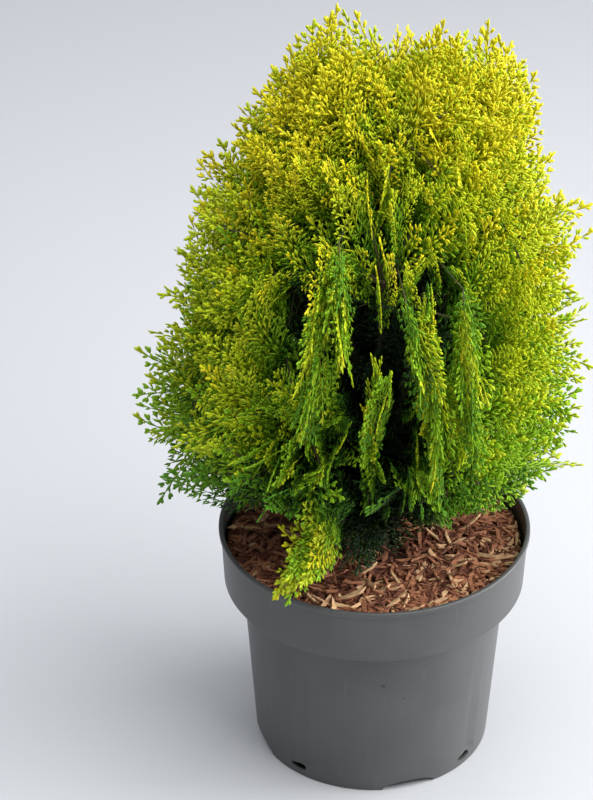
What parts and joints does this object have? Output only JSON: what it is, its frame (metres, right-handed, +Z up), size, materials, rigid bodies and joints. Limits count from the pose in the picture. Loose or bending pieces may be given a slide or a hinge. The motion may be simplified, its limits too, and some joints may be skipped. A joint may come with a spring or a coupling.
{
  "type": "potted thuja",
  "caption": "Golden thuja, a dense rounded conifer shrub with flat upright sprays, growing in a grey plastic nursery pot topped with wood chips.",
  "frame": {"origin": "the middle of the pot's flat underside, on the surface it stands on", "axes": "+Z up along the trunk; -Y is the front, where the hollow and the hanging strands are; +X to the right seen from the front"},
  "size_m": [0.2878, 0.2636, 0.5271],
  "materials": {
    "grey_plastic": "satin moulded plastic, mid grey",
    "potting_soil": "rough, moist potting mix",
    "wood_chips": "rough split wood chips",
    "bark": "rough, thin fibrous bark",
    "gold_foliage": "satin scale leaves, golden yellow-green",
    "green_foliage": "satin scale leaves, green"
  },
  "bodies": {
    "root": {"bough_crest_back": "bark", "bough_crest_front": "bark", "bough_crest_right": "bark", "bough_shoulder_1": "bark", "bough_shoulder_2": "bark", "bough_shoulder_3": "bark", "bough_shoulder_4": "bark", "bough_shoulder_5": "bark", "bough_skirt_1": "bark", "bough_skirt_2": "bark", "bough_skirt_3": "bark", "bough_skirt_4": "bark", "bough_skirt_5": "bark", "bough_strand_left": "bark", "bough_strand_low": "bark", "bough_strand_middle": "bark", "bough_strand_right": "bark", "bough_waist_1": "bark", "bough_waist_2": "bark", "bough_waist_3": "bark", "bough_waist_4": "bark", "bough_waist_5": "bark", "bough_waist_6": "bark", "foliage_crest_back": "gold_foliage", "foliage_crest_front": "gold_foliage", "foliage_crest_right": "gold_foliage", "foliage_leader": "gold_foliage", "foliage_shoulder_1": "gold_foliage", "foliage_shoulder_2": "gold_foliage", "foliage_shoulder_3": "gold_foliage", "foliage_shoulder_4": "gold_foliage", "foliage_shoulder_5": "gold_foliage", "foliage_skirt_1": "green_foliage", "foliage_skirt_2": "green_foliage", "foliage_skirt_3": "green_foliage", "foliage_skirt_4": "green_foliage", "foliage_skirt_5": "green_foliage", "foliage_strand_left": "gold_foliage", "foliage_strand_low": "green_foliage", "foliage_strand_middle": "green_foliage", "foliage_strand_right": "gold_foliage", "foliage_waist_1": "gold_foliage", "foliage_waist_2": "gold_foliage", "foliage_waist_3": "gold_foliage", "foliage_waist_4": "gold_foliage", "foliage_waist_5": "gold_foliage", "foliage_waist_6": "gold_foliage", "pot": "grey_plastic", "potting_soil": "potting_soil", "trunk": "bark", "wood_chip_mulch": "wood_chips"}
  },
  "joints": []
}
